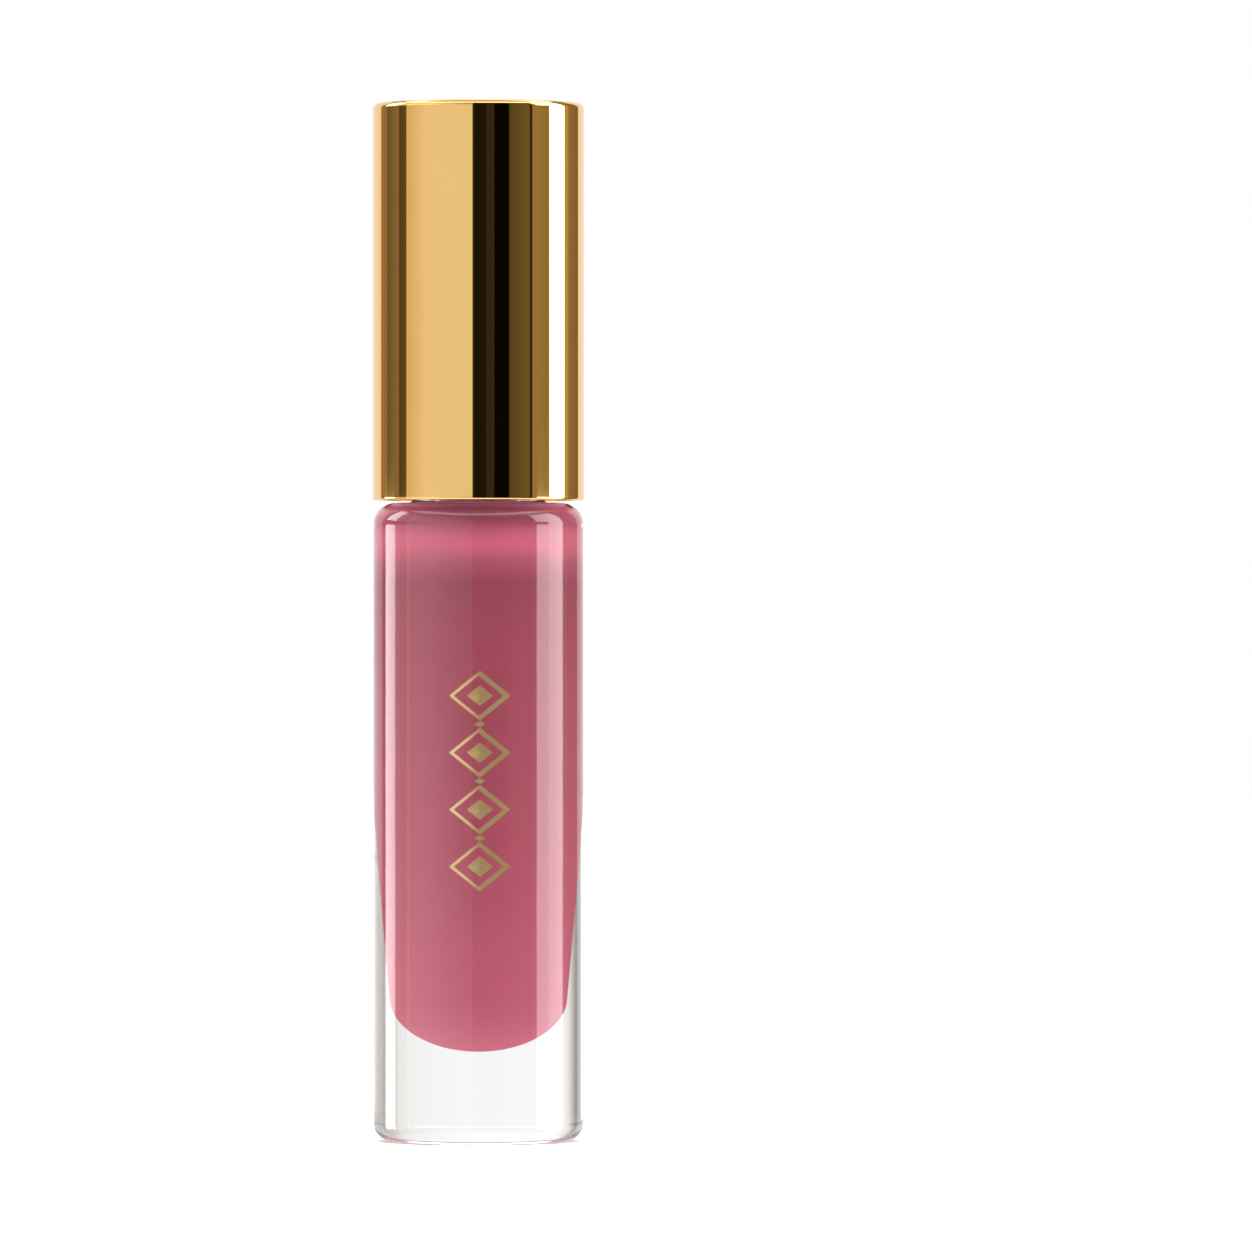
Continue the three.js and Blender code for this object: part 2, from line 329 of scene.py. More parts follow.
def surface(tree, **sockets):
    """The material's shader. A socket's name is written with _ for its spaces."""
    inputs = {name.replace("_", " "): value for name, value in sockets.items()}
    shader = tree.node("ShaderNodeBsdfPrincipled", None, inputs)
    tree.node("ShaderNodeOutputMaterial", None, {"Surface": shader})


def clear_glass():
    """Flint glass. Moulding leaves a faint waviness, longer along the vial than round it."""
    material, tree = finish("clear_glass")
    waves = tree.grain(5 * mm, 1, (1, 1, 0.35))
    surface(
        tree,
        Base_Color=(0.993, 0.987, 0.983, 1),
        Roughness=0.0,
        IOR=1.5,
        Transmission_Weight=1.0,
        Normal=tree.bump(waves, 0.25, 0.05 * mm),
    )
    return material


vial = turned("glass_vial", vial_profile(), sides=160, longest=0.5 * mm, swell=neck_ridge)
vial.data.materials.append(clear_glass())
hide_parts("glass_bottle")
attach(vial, "bottle")

# ---- Gloss in the vial -----------------------------------------------------------------------------
# Opaque dusty-pink lip gloss that wets the glass all round. It is a hair wider than the well, so that
# no air shows between it and the glass, and it leaves a hole where the wand stands.

GLOSS_DEEP = (0.42, 0.078, 0.136)
# Painted light: the gloss's colour is painted lighter at its foot and its shoulder than up its middle,
# standing in for the light that the thick glass gathers on it. Each stop is a share of the well's
# height, and the gloss's colour there.
GLOSS_PAINTED_LIGHT_BY_HEIGHT = [
    (0.17, (0.75, 0.195, 0.285)),
    (0.23, (0.65, 0.152, 0.235)),
    (0.39, (0.60, 0.14, 0.213)),
    (0.70, (0.525, 0.12, 0.183)),
    (0.90, (0.44, 0.095, 0.150)),
    (0.93, (0.58, 0.135, 0.215)),
    (0.955, (0.82, 0.185, 0.295)),
    (0.975, (0.95, 0.22, 0.36)),
    (1.0, (0.97, 0.22, 0.38)),
]
WETTING = 0.02 * mm
WAND_HOLE = 2.85 * mm
fill_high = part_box("gloss_fill")[1]


def fill_profile():
    hole = rounded([
        (BORE_RADIUS - 0.03 * mm, fill_high.z, 0.3 * mm),
        (WAND_HOLE, fill_high.z, 0.3 * mm),
        (WAND_HOLE, 19.4 * mm, 0.5 * mm),
        (4.0 * mm, 17 * mm, 0.8 * mm),
        (4.0 * mm, 9.6 * mm, 1.2 * mm),
        (0, 9.0 * mm, 0),
    ])
    return well(WETTING) + hole


def gloss_in_vial():
    """Gloss seen through glass, with no shine of its own, a faint swirl from filling, and painted light
    by height.
    """
    material, tree = finish("gloss_in_vial")
    swirl = tree.grain(9 * mm, 2, (1, 1, 0.25))
    own = tree.node("ShaderNodeTexCoord", output="Object")
    place = tree.node("ShaderNodeSeparateXYZ", None, {0: own})
    # Painted light: the colour ramp paints the gloss lighter at its foot and its shoulder.
    height = Link(tree, place.socket.node.outputs["Z"]) / WELL_TOP
    painted_light_pink = tree.node("ShaderNodeValToRGB", {"stops": GLOSS_PAINTED_LIGHT_BY_HEIGHT}, {"Fac": height})
    surface(
        tree,
        Base_Color=tree.mix(swirl * 0.15, painted_light_pink, (*GLOSS_DEEP, 1)),
        Roughness=0.5,
        Specular_IOR_Level=0.0,
    )
    return material


fill = turned("gloss_in_vial", fill_profile(), sides=128, longest=1.0 * mm)
fill.data.materials.append(gloss_in_vial())
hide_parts("gloss_fill")
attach(fill, "bottle")

# ---- Foil ornament ---------------------------------------------------------------------------------
# A plain hot-foil ornament on the front of the vial: a column of lozenges with a small one between
# each two, stamped in gold on the glass.

FOIL_MIDDLE = 31.5 * mm
FOIL_TALL = 19.7 * mm
FOIL_WIDE = 5.4 * mm
FOIL_AROUND = 0.25 * mm
FOIL_THICK = 0.02 * mm
FOIL_STROKE = 0.42 * mm
LOZENGES = 4


def on_vial(across, height, lift):
    """A point on the glass, across millimetres round from the front."""
    radius = VIAL_RADIUS + lift
    angle = across / VIAL_RADIUS
    return (radius * math.sin(angle), -radius * math.cos(angle), height)


def lozenge_path(middle, half_wide, half_tall, cuts, aside=0):
    """Points round a lozenge on the unrolled glass."""
    tips = [(0, half_tall), (half_wide, 0), (0, -half_tall), (-half_wide, 0)]
    points = []
    for (x0, z0), (x1, z1) in zip(tips, tips[1:] + tips[:1]):
        for k in range(cuts):
            share = k / cuts
            x, z = x0 + (x1 - x0) * share, z0 + (z1 - z0) * share
            points.append((FOIL_AROUND + aside + x, middle + z))
    return points


def stamp(verts, faces, outer, inner):
    """Adds a closed band of foil between two loops of points on the unrolled glass."""
    count, start = len(outer), len(verts)
    for loop in (outer, inner):
        for lift in (FOIL_THICK, -FOIL_THICK):
            verts.extend(on_vial(x, z, lift) for x, z in loop)
    for k in range(count):
        n = (k + 1) % count
        order = (0, 2 * count, 3 * count, count, 0)
        for a, b in zip(order, order[1:]):
            faces.append([start + a + k, start + a + n, start + b + n, start + b + k])


def ornament():
    verts, faces = [], []
    pitch = FOIL_TALL / LOZENGES
    for i in range(LOZENGES):
        middle = FOIL_MIDDLE + pitch * (i - (LOZENGES - 1) / 2)
        wide, tall = FOIL_WIDE / 2, pitch * 0.44
        for share, stroke in ((1, FOIL_STROKE), (0.42, 0.3 * FOIL_WIDE)):
            outer = lozenge_path(middle, wide * share, tall * share, 10)
            less = max(0.02, 1 - stroke / (wide * share) * 1.3)
            aside = -0.3 * stroke if share == 1 else 0
            inner = lozenge_path(middle, wide * share * less, tall * share * less, 10, aside)
            stamp(verts, faces, outer, inner)
    for i in range(LOZENGES - 1):
        middle = FOIL_MIDDLE + pitch * (i + 1 - LOZENGES / 2)
        outer = lozenge_path(middle, 0.5 * mm, 0.28 * mm, 4)
        stamp(verts, faces, outer, lozenge_path(middle, 0.01 * mm, 0.01 * mm, 4))
    return mesh_object("foil_ornament", verts, faces, 30)


def gold_foil():
    """Stamped foil: bright, and slightly uneven where it took to the glass, with a painted sheen of
    lighter and darker gold patches in its colour.
    """
    material, tree = finish("gold_foil")
    wear = tree.grain(0.6 * mm, 4)
    # Painted sheen: broad patches of lighter and darker gold stand in for the foil's changing
    # reflections.
    painted_sheen = tree.grain(3.5 * mm, 1)
    surface(
        tree,
        Base_Color=tree.mix(painted_sheen, (1.0, 0.80, 0.44, 1), (0.80, 0.46, 0.16, 1)),
        Metallic=0.6,
        Roughness=0.16 + 0.12 * wear,
        Normal=tree.bump(wear, 0.3, 0.01 * mm),
    )
    return material


foil = ornament()
foil.data.materials.append(gold_foil())
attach(foil, "bottle")

# ---- Wiper -----------------------------------------------------------------------------------------
# A soft polyethylene plug pressed into the neck. Its flange sits on the glass, and its thin lip wipes
# the stem as the wand comes out.

wiper_low, wiper_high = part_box("wiper")
PLUG_RADIUS = BORE_RADIUS - 0.05 * mm
ORIFICE = 2.6 * mm
FLANGE_RADIUS = wiper_high.x


def wiper_profile():
    return rounded([
        (ORIFICE, wiper_low.z + 0.25 * mm, 0.08 * mm),
        (ORIFICE + 0.3 * mm, wiper_low.z, 0.08 * mm),
        (PLUG_RADIUS, 60.5 * mm, 0.5 * mm),
        (PLUG_RADIUS, NECK_TOP + 0.03 * mm, 0.02 * mm),
        (FLANGE_RADIUS, NECK_TOP + 0.03 * mm, 0.08 * mm),
        (FLANGE_RADIUS, wiper_high.z, 0.18 * mm),
        (3.6 * mm, wiper_high.z, 0.3 * mm),
        (3.1 * mm, wiper_high.z - 0.8 * mm, 0.4 * mm),
        (3.1 * mm, 60.6 * mm, 0.8 * mm),
        (ORIFICE, wiper_low.z + 0.9 * mm, 0.4 * mm),
    ])


def milky_plastic(name, colour, roughness, pores):
    """Moulded plastic: a little uneven in shine, with a fine skin."""
    material, tree = finish(name)
    skin = tree.grain(pores, 4)
    patches = tree.grain(4 * mm, 2)
    darker = tuple(0.94 * c for c in colour)
    surface(
        tree,
        Base_Color=tree.mix(patches, (*colour, 1), (*darker, 1)),
        Roughness=roughness + 0.1 * patches,
        Normal=tree.bump(skin, 0.2, 0.02 * mm),
        Subsurface_Weight=0.15,
        Subsurface_Radius=(1.0 * mm, 1.0 * mm, 0.9 * mm),
        Subsurface_Scale=1.0,
    )
    return material


plug = turned("neck_wiper", wiper_profile(), sides=96)
plug.data.materials.append(milky_plastic("wiper_plastic", (0.84, 0.85, 0.84), 0.35, 0.3 * mm))
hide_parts("wiper")
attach(plug, "bottle")

# ---- Sealing washer --------------------------------------------------------------------------------
# A ring of foamed polyethylene that the inner cap presses on the wiper's flange.

washer_low, washer_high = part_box("sealing_washer")


def foam():
    """Closed-cell foam with a fine pitted face."""
    material, tree = finish("foam")
    inputs = {"Vector": tree.place(), "Scale": 1 / (0.18 * mm)}
    cells = tree.node("ShaderNodeTexVoronoi", None, inputs)
    surface(
        tree,
        Base_Color=tree.mix(cells, (0.80, 0.80, 0.78, 1), (0.90, 0.90, 0.88, 1)),
        Roughness=0.85,
        Normal=tree.bump(cells, 0.5, 0.03 * mm),
    )
    return material


washer = turned("foam_washer", rounded([
    (ORIFICE, washer_low.z, 0.1 * mm),
    (washer_high.x, washer_low.z, 0.1 * mm),
    (washer_high.x, washer_high.z, 0.1 * mm),
    (ORIFICE, washer_high.z, 0.1 * mm),
]), sides=96)
washer.data.materials.append(foam())
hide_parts("sealing_washer")
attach(washer, "seal")

# ---- Cap shell -------------------------------------------------------------------------------------
# Drawn aluminium, polished like a mirror and anodised deep gold, with a small round at its top edge
# and a turned lip at its mouth.

shell_low, shell_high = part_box("cap_shell")
SHELL_RADIUS = shell_high.x
SHELL_WALL = 0.5 * mm


def polished_gold():
    """Mirror-polished gold anodising, with the faintest drawn lines along the cap."""
    material, tree = finish("polished_gold")
    lines = tree.grain(0.35 * mm, 2, (1, 1, 0.02))
    cloud = tree.grain(7 * mm, 2)
    surface(
        tree,
        Base_Color=tree.mix(cloud, (0.90, 0.585, 0.215, 1), (0.88, 0.56, 0.20, 1)),
        Metallic=1.0,
        Roughness=0.012 + 0.015 * cloud,
        Normal=tree.bump(lines, 0.06, 0.002 * mm),
    )
    return material


shell = turned("cap_shell_gold", rounded([
    (0, shell_high.z - 0.6 * mm, 0),
    (SHELL_RADIUS - SHELL_WALL, shell_high.z - 0.6 * mm, 0.3 * mm),
    (SHELL_RADIUS - SHELL_WALL, shell_low.z, 0.2 * mm),
    (SHELL_RADIUS, shell_low.z, 0.2 * mm),
    (SHELL_RADIUS, shell_high.z, 0.5 * mm),
    (0, shell_high.z, 0),
]), sides=192)
shell.data.materials.append(polished_gold())
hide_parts("cap_shell")
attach(shell, "cap")

# ---- Inner cap -------------------------------------------------------------------------------------
# A polypropylene closure pressed into the shell: ribs grip the gold shell, a thread runs inside its
# skirt, and a boss above the web holds the wand's head.

closure_low, closure_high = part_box("inner_cap")
CLOSURE_RADIUS = 8.25 * mm
SKIRT_BORE = 7.0 * mm
SLEEVE_BORE = 7.25 * mm
CEILING = washer_high.z + 0.05 * mm
WEB_TOP = CEILING + 1.75 * mm
GRIP_RIBS = 12
RIB_HALF = 0.4 * mm
RIB_OUT = 0.42 * mm


def closure_relief(angle, radius, height):
    """Ribs on the outside, and the female thread in the skirt."""
    if abs(radius - CLOSURE_RADIUS) < 0.05 * mm:
        step = 2 * math.pi / GRIP_RIBS
        off = abs((angle % step) - step / 2) * CLOSURE_RADIUS
        tall = smooth(59 * mm, 59.6 * mm, height) * smooth(88 * mm, 87.4 * mm, height)
        return RIB_OUT * tall * (1 - smooth(RIB_HALF, RIB_HALF + 0.15 * mm, off))
    if abs(radius - SKIRT_BORE) < 0.01 * mm and height < CEILING - 0.5 * mm:
        return -0.4 * mm * thread(angle, height, THREAD_START - THREAD_PITCH / 2)
    return 0


closure = turned("inner_closure", rounded([
    (SKIRT_BORE, closure_low.z, 0.25 * mm),
    (CLOSURE_RADIUS, closure_low.z, 0.25 * mm),
    (CLOSURE_RADIUS, closure_high.z, 0.2 * mm),
    (SLEEVE_BORE, closure_high.z, 0.2 * mm),
    (SLEEVE_BORE, WEB_TOP, 0.4 * mm),
    (4.6 * mm, WEB_TOP, 0.4 * mm),
    (4.6 * mm, WEB_TOP + 6 * mm, 0.2 * mm),
    (3.25 * mm, WEB_TOP + 6 * mm, 0.2 * mm),
    (3.25 * mm, CEILING + 1.2 * mm, 0),
    (2.55 * mm, CEILING + 1.2 * mm, 0),
    (2.55 * mm, CEILING, 0.1 * mm),
    (SKIRT_BORE, CEILING, 0.4 * mm),
]), sides=180, longest=0.4 * mm, swell=closure_relief)
closure.data.materials.append(milky_plastic("closure_plastic", (0.86, 0.86, 0.85), 0.3, 0.25 * mm))
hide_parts("inner_cap")
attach(closure, "cap")

# ---- Wand stem -------------------------------------------------------------------------------------
# A white moulded rod. Its head is held in the inner cap's boss, and a socket in its lower end takes
# the applicator's spigot. The lower end is slightly necked and rounded.

stem_low, stem_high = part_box("wand_stem")
STEM_RADIUS = 2.5 * mm
HEAD_RADIUS = stem_high.x
SOCKET_RADIUS = 1.3 * mm

stem = turned("wand_stem_white", rounded([
    (0, stem_low.z + 6 * mm, 0),
    (SOCKET_RADIUS, stem_low.z + 6 * mm, 0),
    (SOCKET_RADIUS, stem_low.z, 0.08 * mm),
    (2.36 * mm, stem_low.z, 0.6 * mm),
    (STEM_RADIUS, stem_low.z + 3.0 * mm, 6 * mm),
    (STEM_RADIUS, CEILING + 1.25 * mm, 0),
    (HEAD_RADIUS, CEILING + 1.25 * mm, 0.1 * mm),
    (HEAD_RADIUS, stem_high.z, 0.3 * mm),
    (0, stem_high.z, 0),
]), sides=96, longest=1 * mm)
stem.data.materials.append(milky_plastic("stem_white", (0.91, 0.91, 0.925), 0.25, 0.4 * mm))
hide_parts("wand_stem")
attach(stem, "cap")

# ---- Applicator core -------------------------------------------------------------------------------
# A flexible moulded doe-foot: a round bar whose end is sliced at a slant and rounded, with a spigot
# that is pushed into the stem.

CORE_RADIUS = 2.0 * mm
SLANT = math.radians(31)
SLANT_ACROSS = 1.2 * mm
SLANT_SOFT = 0.7 * mm
FLOCK_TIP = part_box("flocking")[0].z


def sliced(piece, inset):
    """Slices the bar's end at the doe-foot's slant, with a soft edge."""
    out = Vector((-math.cos(SLANT), 0, -math.sin(SLANT)))
    face = Vector((SLANT_ACROSS, 0, FLOCK_TIP)) - out * inset
    for vertex in piece.data.vertices:
        over = (vertex.co - face).dot(out)
        blend = max(0, SLANT_SOFT - abs(over)) ** 2 / (4 * SLANT_SOFT)
        vertex.co -= out * (max(0, over) + blend)
    piece.data.update()


def doe_foot(name, radius, inset, top, spigot=0):
    """A sliced bar, with a spigot on its top if one is given."""
    tip = FLOCK_TIP + inset
    profile = rounded([
        (0, tip, 0),
        (radius, tip, radius * 0.98),
        (radius, top, 0.05 * mm),
        (spigot or 0.6 * mm, top, 0),
    ], 16)
    if spigot:
        profile.append(Vector((spigot, top + 5.4 * mm)))
        profile.append(Vector((0, top + 5.6 * mm)))
    else:
        profile.append(Vector((0, top)))
    piece = turned(name, profile, sides=72, longest=0.25 * mm)
    sliced(piece, inset)
    return piece


core = doe_foot("applicator_foot", CORE_RADIUS, 0.42 * mm, stem_low.z - 0.1 * mm, 1.25 * mm)
core.data.materials.append(milky_plastic("core_plastic", (0.84, 0.82, 0.79), 0.4, 0.2 * mm))
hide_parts("applicator_core")
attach(core, "cap")

# ---- Flocking --------------------------------------------------------------------------------------
# Short nylon fibres shot into glue on the core, so that they stand on end. They are wet with gloss,
# lean together in little tufts of unequal height, and hold small beads of gloss.

FLOCK_SIZES = {
    "Fibres per square metre": 84 / mm**2,
    "Fibre length": 0.42 * mm,
    "Fibre thickness": 0.036 * mm,
    "Beads per square metre": 3 / mm**2,
    "Bead radius": 0.075 * mm,
    "Seed": 7,
}
FIBRE_TIP_RADIUS = 0.014 * mm
TUFT_ACROSS = 0.5 * mm
TUFT_LEAN = 3.2
STRAY_LEAN = 0.3
ANY_TURN = 3.1
TUFT_RISE = 1.5
TUFT_RISE_ACROSS = 0.65 * mm
FIBRE_RISE = 0.35
BEAD_SEAT = 0.82
GLUE_RADIUS = 2.06 * mm


class Shape(Tree):
    """A geometry node tree. A mesh goes in with sizes, each a named input, and a mesh comes out."""

    def __init__(self, name, sizes):
        self.group = bpy.data.node_groups.new(name, "GeometryNodeTree")
        super().__init__(self.group)
        face = self.group.interface
        face.new_socket("Mesh", in_out="INPUT", socket_type="NodeSocketGeometry")
        for size, value in sizes.items():
            kind = "NodeSocketInt" if isinstance(value, int) else "NodeSocketFloat"
            face.new_socket(size, in_out="INPUT", socket_type=kind)
        face.new_socket("Mesh", in_out="OUTPUT", socket_type="NodeSocketGeometry")
        self.entry = self.nodes.new("NodeGroupInput")

    def given(self, name):
        return Link(self, self.entry.outputs[name])

    def scatter(self, density, seed):
        """Points on the mesh that comes in, so many per square metre."""
        inputs = {"Mesh": self.given("Mesh"), "Density": self.given(density), "Seed": seed}
        return self.node("GeometryNodeDistributePointsOnFaces", None, inputs, "Points")

    def beside(self, link, name):
        """Another output of the node that a link comes from."""
        return Link(self, link.socket.node.outputs[name])

    def random(self, low, high, seed):
        """A number of its own for each point or copy."""
        inputs = {2: low, 3: high, "Seed": seed}
        return self.node("FunctionNodeRandomValue", {"data_type": "FLOAT"}, inputs, 1)

    def finished(self, parts, material):
        """Joins the parts, makes copies real, gives them their material and sends them out."""
        joined = self.node("GeometryNodeJoinGeometry")
        for part in parts:
            self.links.new(part.socket, joined.socket.node.inputs[0])
        real = self.node("GeometryNodeRealizeInstances", None, {"Geometry": joined})
        coated = self.node("GeometryNodeSetMaterial", None, {"Geometry": real, "Material": material})
        self.links.new(coated.socket, self.nodes.new("NodeGroupOutput").inputs[0])
        return self.group


def flock_tree(material):
    """Fibres on the mesh that comes in, each a thin three-sided spike, leaning with its neighbours."""
    tree = Shape("flock", FLOCK_SIZES)
    seed = tree.given("Seed")
    roots = tree.scatter("Fibres per square metre", seed)
    spike = tree.node("GeometryNodeMeshCone", {"fill_type": "NGON"}, {
        "Vertices": 3,
        "Radius Top": FIBRE_TIP_RADIUS,
        "Radius Bottom": tree.given("Fibre thickness"),
        "Depth": tree.given("Fibre length"),
    })
    tufts = tree.node("ShaderNodeTexNoise", {"noise_dimensions": "3D"}, {"Scale": 1 / TUFT_ACROSS}, 1)
    centred = tree.vector("SUBTRACT", tufts, (0.5,) * 3)
    tuft_lean = tree.vector("SCALE", centred, TUFT_LEAN)
    stray = tree.node("FunctionNodeRandomValue", {"data_type": "FLOAT_VECTOR"}, {
        "Min": (-STRAY_LEAN, -STRAY_LEAN, -ANY_TURN),
        "Max": (STRAY_LEAN, STRAY_LEAN, ANY_TURN),
        "Seed": seed,
    })
    lean = tree.vector("ADD", tuft_lean, stray)
    tilt = tree.node("FunctionNodeEulerToRotation", None, {0: lean})
    turned_by = {"Rotation": tree.beside(roots, "Rotation"), "Rotate By": tilt}
    turn = tree.node("FunctionNodeRotateRotation", {"rotation_space": "LOCAL"}, turned_by)
    tuft_inputs = {"Scale": 1 / TUFT_RISE_ACROSS, "Detail": 1.0}
    tuft_height = tree.node("ShaderNodeTexNoise", None, tuft_inputs)
    tall = tree.random(0.0, FIBRE_RISE, seed + 1) + tuft_height * TUFT_RISE
    fibres = tree.node("GeometryNodeInstanceOnPoints", None, {
        "Points": roots,
        "Instance": spike,
        "Rotation": turn,
        "Scale": tree.node("ShaderNodeCombineXYZ", None, {0: 1.0, 1: 1.0, 2: tall}),
    })
    toned = tree.node("GeometryNodeStoreNamedAttribute", {"domain": "INSTANCE"}, {
        "Geometry": fibres,
        "Name": "tone",
        "Value": tree.random(0.0, 1.0, seed + 2),
    })
    seats = tree.scatter("Beads per square metre", seed + 3)
    lift = tree.given("Fibre length") * BEAD_SEAT
    lifted = tree.node("GeometryNodeSetPosition", None, {
        "Geometry": seats,
        "Offset": tree.vector("SCALE", tree.beside(seats, "Normal"), lift),
    })
    bead = tree.node("GeometryNodeMeshIcoSphere", None, {
        "Radius": tree.given("Bead radius"),
        "Subdivisions": 2,
    })
    beads = tree.node("GeometryNodeInstanceOnPoints", None, {
        "Points": lifted,
        "Instance": tree.node("GeometryNodeSetShadeSmooth", None, {"Geometry": bead}),
        "Scale": tree.random(0.4, 1.2, seed + 4),
    })
    return tree.finished([tree.given("Mesh"), toned, beads], material)


def grown(seedling, group, sizes, name):
    """The mesh that a geometry node tree makes of an object, as a plain object. The seedling goes."""
    grower = seedling.modifiers.new("grow", "NODES")
    grower.node_group = group
    for socket in group.interface.items_tree:
        if socket.name in sizes:
            grower[socket.identifier] = sizes[socket.name]
    result = seedling.evaluated_get(bpy.context.evaluated_depsgraph_get())
    piece = bpy.data.objects.new(name, bpy.data.meshes.new_from_object(result))
    piece.data.name = name
    bpy.context.scene.collection.objects.link(piece)
    bpy.data.objects.remove(seedling)
    return piece


def wet_flock():
    """Pink nylon wet with gloss: each fibre has its own depth of colour, and some glint."""
    material, tree = finish("wet_flock")
    tone = tree.node("ShaderNodeAttribute", {"attribute_name": "tone"}, None, "Fac")
    patches = tree.grain(0.8 * mm, 2)
    light = tree.mix(patches, (0.95, 0.48, 0.60, 1), (0.80, 0.29, 0.42, 1))
    surface(
        tree,
        Base_Color=tree.mix(tone, (0.55, 0.12, 0.20, 1), light),
        Roughness=0.12 + 0.2 * tone + 0.5 * (tone < 0.001),
        Coat_Weight=0.5 * (tone > 0.001),
        Coat_Roughness=0.08,
    )
    return material


glue = doe_foot("glue", GLUE_RADIUS, 0.39 * mm, stem_low.z - 0.05 * mm)
flock = grown(glue, flock_tree(wet_flock()), FLOCK_SIZES, "flocked_fibres")
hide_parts("flocking")
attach(flock, "cap")

# ---- Gloss on the tip ------------------------------------------------------------------------------
# A full drop of gloss that the doe-foot lifts out. It covers the tip, leans off the slanted face and
# runs up both edges, and leaves the flock bare between them.

DROP_WIDE = 3.55 * mm
DROP_TIP = 9.3 * mm
DROP_FULL = 6.3 * mm
DROP_TAIL = 4.2 * mm
DROP_LEAN = 1.55 * mm
DROP_UPRIGHT = 6.6 * mm


def drop_half(from_tip):
    """The drop's half width at a distance from its tip."""
    if from_tip < DROP_FULL:
        share = 1 - from_tip / DROP_FULL
        return DROP_WIDE * (1 - share**2.5) ** 0.4
    share = min(1, (from_tip - DROP_FULL) / DROP_TAIL)
    return DROP_WIDE * math.sqrt(1 - share**2)


def drop_depth(from_tip):
    """Its depth over its width: round at the tip, and flat further up, where the flock shows."""
    return 0.92 - 0.36 * smooth(3.2 * mm, 6.0 * mm, from_tip)


def gloss_drop():
    rings, sides = 64, 72
    verts, faces = [], []
    for i in range(rings + 1):
        from_tip = (DROP_FULL + DROP_TAIL) * (1 - math.cos(math.pi * i / rings)) / 2
        half = drop_half(from_tip)
        lean = DROP_LEAN * max(0, 1 - from_tip / DROP_UPRIGHT) ** 2
        for k in range(sides):
            angle = 2 * math.pi * k / sides
            x = lean + half * math.cos(angle)
            y = half * drop_depth(from_tip) * math.sin(angle)
            z = DROP_TIP + from_tip
            ripple = 0.12 * mm * noise.noise(Vector((x, y, z)) / (2.2 * mm))
            grow = 1 + ripple / max(half, mm)
            verts.append((lean + (x - lean) * grow, y * grow, z))
    for i in range(rings):
        for k in range(sides):
            n = (k + 1) % sides
            faces.append([i * sides + k, i * sides + n, (i + 1) * sides + n, (i + 1) * sides + k])
    return mesh_object("gloss_drop", verts, faces, 180)


def fresh_gloss():
    """Gloss in the open: deep, wet and slightly see-through at its edges."""
    material, tree = finish("fresh_gloss")
    swirl = tree.grain(2.5 * mm, 2)
    surface(
        tree,
        Base_Color=tree.mix(swirl, (0.50, 0.10, 0.165, 1), (0.43, 0.08, 0.138, 1)),
        Roughness=0.025,
        IOR=1.46,
        Subsurface_Weight=0.25,
        Subsurface_Radius=(1.0 * mm, 0.3 * mm, 0.35 * mm),
        Subsurface_Scale=0.6,
        Normal=tree.bump(swirl, 0.15, 0.05 * mm),
    )
    return material


drop = gloss_drop()
drop.data.materials.append(fresh_gloss())
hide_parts("gloss_on_tip")
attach(drop, "cap")

# ---- Studio ----------------------------------------------------------------------------------------
# A white table, and light from all round: a large soft box at the left, a tall strip at the right, a
# soft light overhead, a white background behind, and the dark of the room in front.

TALL = cad_high.z - cad_low.z

table = turned("table", [Vector((0, -0.02 * mm)), Vector((2, -0.02 * mm)),
                         Vector((2, -5 * mm)), Vector((0, -5 * mm))], sides=64, longest=1)
table_finish, table_tree = finish("white_table")
table_grain = table_tree.grain(3 * mm, 2)
surface(
    table_tree,
    Base_Color=table_tree.mix(table_grain, (0.93, 0.93, 0.93, 1), (0.91, 0.91, 0.91, 1)),
    Roughness=0.7,
)
table.data.materials.append(table_finish)
table.visible_glossy = False
table.visible_diffuse = False
table.visible_transmission = False

# Each card is a stretch of the surroundings, in degrees round from the camera, to the right: where it
# ends, and its light at both edges.
LEFT_CARDS = [
    (-132, (1.0, 1.0, 1.0), (1.0, 1.0, 1.0)),
    (-118, (0.40, 0.25, 0.17), (0.33, 0.22, 0.14)),
    (-113, (0.16, 0.15, 0.07), (0.16, 0.15, 0.07)),
    (-96, (0.17, 0.15, 0.09), (0.28, 0.22, 0.16)),
    (-84.5, (0.09, 0.07, 0.04), (0.12, 0.10, 0.06)),
    (-60, (0.77, 0.66, 0.47), (0.93, 0.88, 0.92)),
    (-5.7, (0.93, 0.90, 0.98), (0.90, 0.93, 0.88)),
    (-3.3, (0.03, 0.013, 0.007), (0.03, 0.013, 0.007)),
    (0, (0.012, 0.012, 0.008), (0.012, 0.012, 0.008)),
]
RIGHT_CARDS = [
    (8.9, (0.012, 0.012, 0.008), (0.012, 0.012, 0.008)),
    (17.8, (0.035, 0.03, 0.03), (0.04, 0.033, 0.038)),
    (34.5, (0.004, 0.003, 0.001), (0.004, 0.003, 0.001)),
    (58.4, (0.10, 0.088, 0.055), (0.173, 0.145, 0.08)),
    (61.8, (0.037, 0.029, 0.015), (0.037, 0.029, 0.015)),
    (84.4, (0.36, 0.29, 0.19), (0.30, 0.25, 0.12)),
    (108.8, (1.3, 1.3, 1.3), (1.3, 1.3, 1.3)),
    (116, (0.48, 0.44, 0.28), (0.48, 0.44, 0.28)),
    (140.3, (0.34, 0.24, 0.13), (0.23, 0.16, 0.07)),
    (180, (1.0, 1.0, 1.0), (1.0, 1.0, 1.0)),
]
